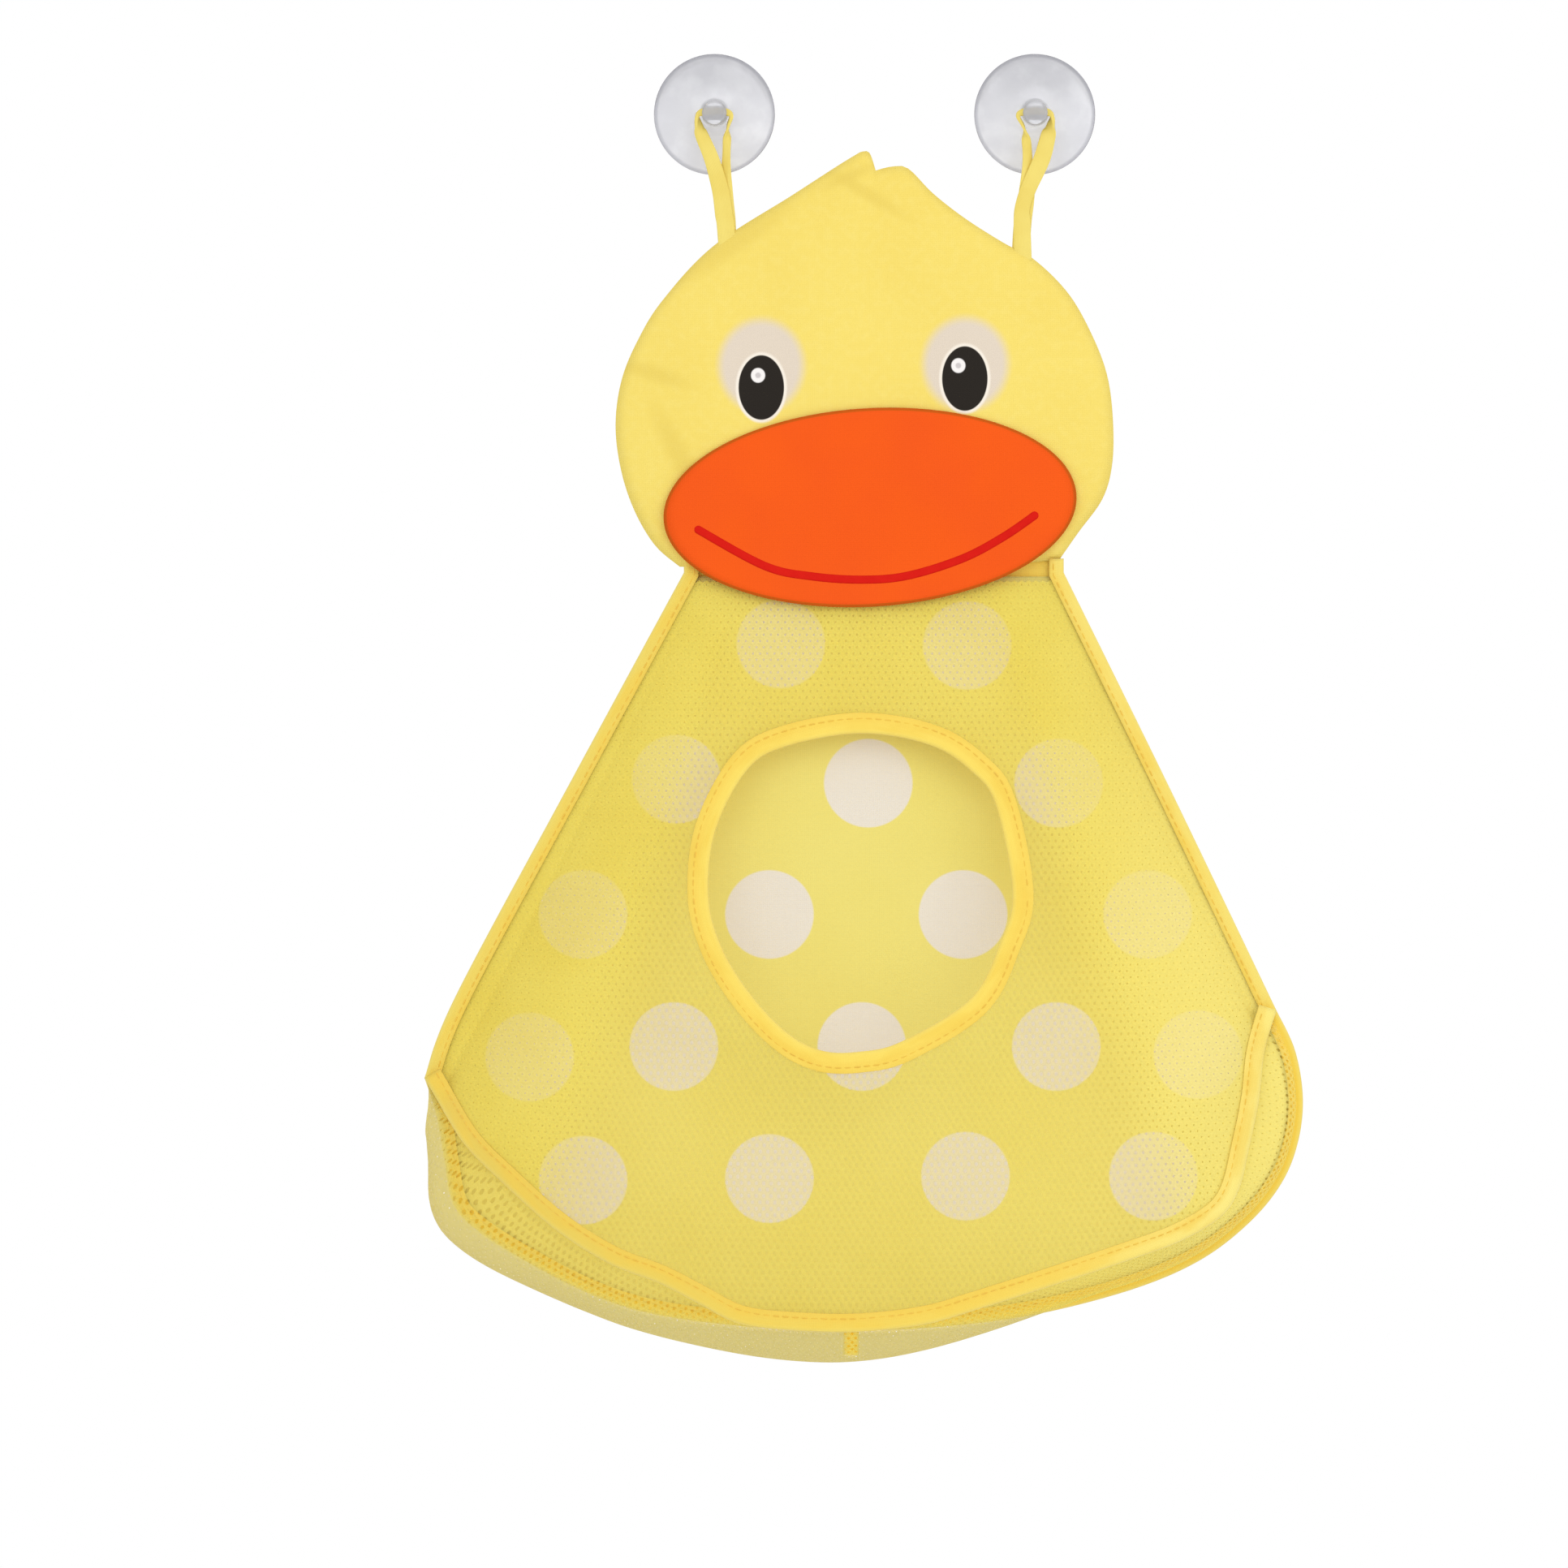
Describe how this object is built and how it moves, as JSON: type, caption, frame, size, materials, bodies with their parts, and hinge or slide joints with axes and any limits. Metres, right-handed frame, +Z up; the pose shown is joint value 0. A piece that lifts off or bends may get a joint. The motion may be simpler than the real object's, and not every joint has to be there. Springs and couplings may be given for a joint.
{
  "type": "bath toy organizer",
  "caption": "Hanging bath toy bag with a duck head, a net pocket with a round bound opening, ribbon loops and suction cups.",
  "frame": {"origin": "on the wall, halfway between the two suction cups", "axes": "+Z up, +Y into the wall, so the bag's front faces -Y, +X to the right as seen from the front"},
  "size_m": [0.3124, 0.0694, 0.4652],
  "materials": {
    "clear_vinyl": "clear soft vinyl, glossy",
    "ribbon": "satin ribbon",
    "head_cloth": "woven polyester, matt",
    "wadding": "thin wadding",
    "bill_cloth": "printed woven polyester",
    "binding_tape": "folded binding tape, slight sheen",
    "dotted_cloth": "printed woven polyester with off-white dots",
    "net_yarn": "knitted net",
    "gusset_yarn": "knitted net"
  },
  "bodies": {
    "left_cup": {"left_suction_cup": "clear_vinyl"},
    "left_loop": {"left_ribbon_loop": "ribbon"},
    "bag": {"left_ribbon_end": "ribbon", "right_ribbon_end": "ribbon", "head_front_panel": "head_cloth", "head_back_panel": "head_cloth", "head_padding": "wadding", "bill_panel": "bill_cloth", "neck_tape": "binding_tape", "back_panel": "dotted_cloth", "front_net": "net_yarn", "gusset_net": "gusset_yarn", "left_side_binding": "binding_tape", "right_side_binding": "binding_tape", "back_bottom_binding": "binding_tape", "opening_binding": "binding_tape", "binding_tab": "binding_tape"},
    "right_loop": {"right_ribbon_loop": "ribbon"},
    "right_cup": {"right_suction_cup": "clear_vinyl"},
    "pocket_edge": {"front_bottom_binding": "binding_tape"}
  },
  "joints": [
    {"name": "left_loop_swing", "type": "hinge", "parent": "left_cup", "child": "left_loop", "pos_m": [-0.05715, -0.0114, 0], "axis": [-1, 0, 0], "range_deg": [0, 45]},
    {"name": "bag_swing", "type": "hinge", "parent": "left_loop", "child": "bag", "pos_m": [-0.05255, -0.0114, -0.0392], "axis": [-1, 0, 0], "range_deg": [0, 22]},
    {"name": "right_loop_swing", "type": "hinge", "parent": "bag", "child": "right_loop", "pos_m": [0.05255, -0.0114, -0.0392], "axis": [-1, 0, 0], "range_deg": [-22, 0]},
    {"name": "right_cup_swing", "type": "hinge", "parent": "right_loop", "child": "right_cup", "pos_m": [0.05715, -0.0114, 0], "axis": [-1, 0, 0], "range_deg": [-45, 0]},
    {"name": "pocket_edge_swing", "type": "hinge", "parent": "bag", "child": "pocket_edge", "pos_m": [-0.1604, -0.0114, -0.3437], "axis": [-0.9968, 0, -0.0794], "range_deg": [-10, 10], "stiffness_Nm_per_rad": 0.15, "deforming": ["front_net", "gusset_net"]}
  ],
  "couplings": [
    {"joint": "right_loop_swing", "follows": "bag_swing", "ratio": -1},
    {"joint": "right_cup_swing", "follows": "left_loop_swing", "ratio": -1}
  ]
}
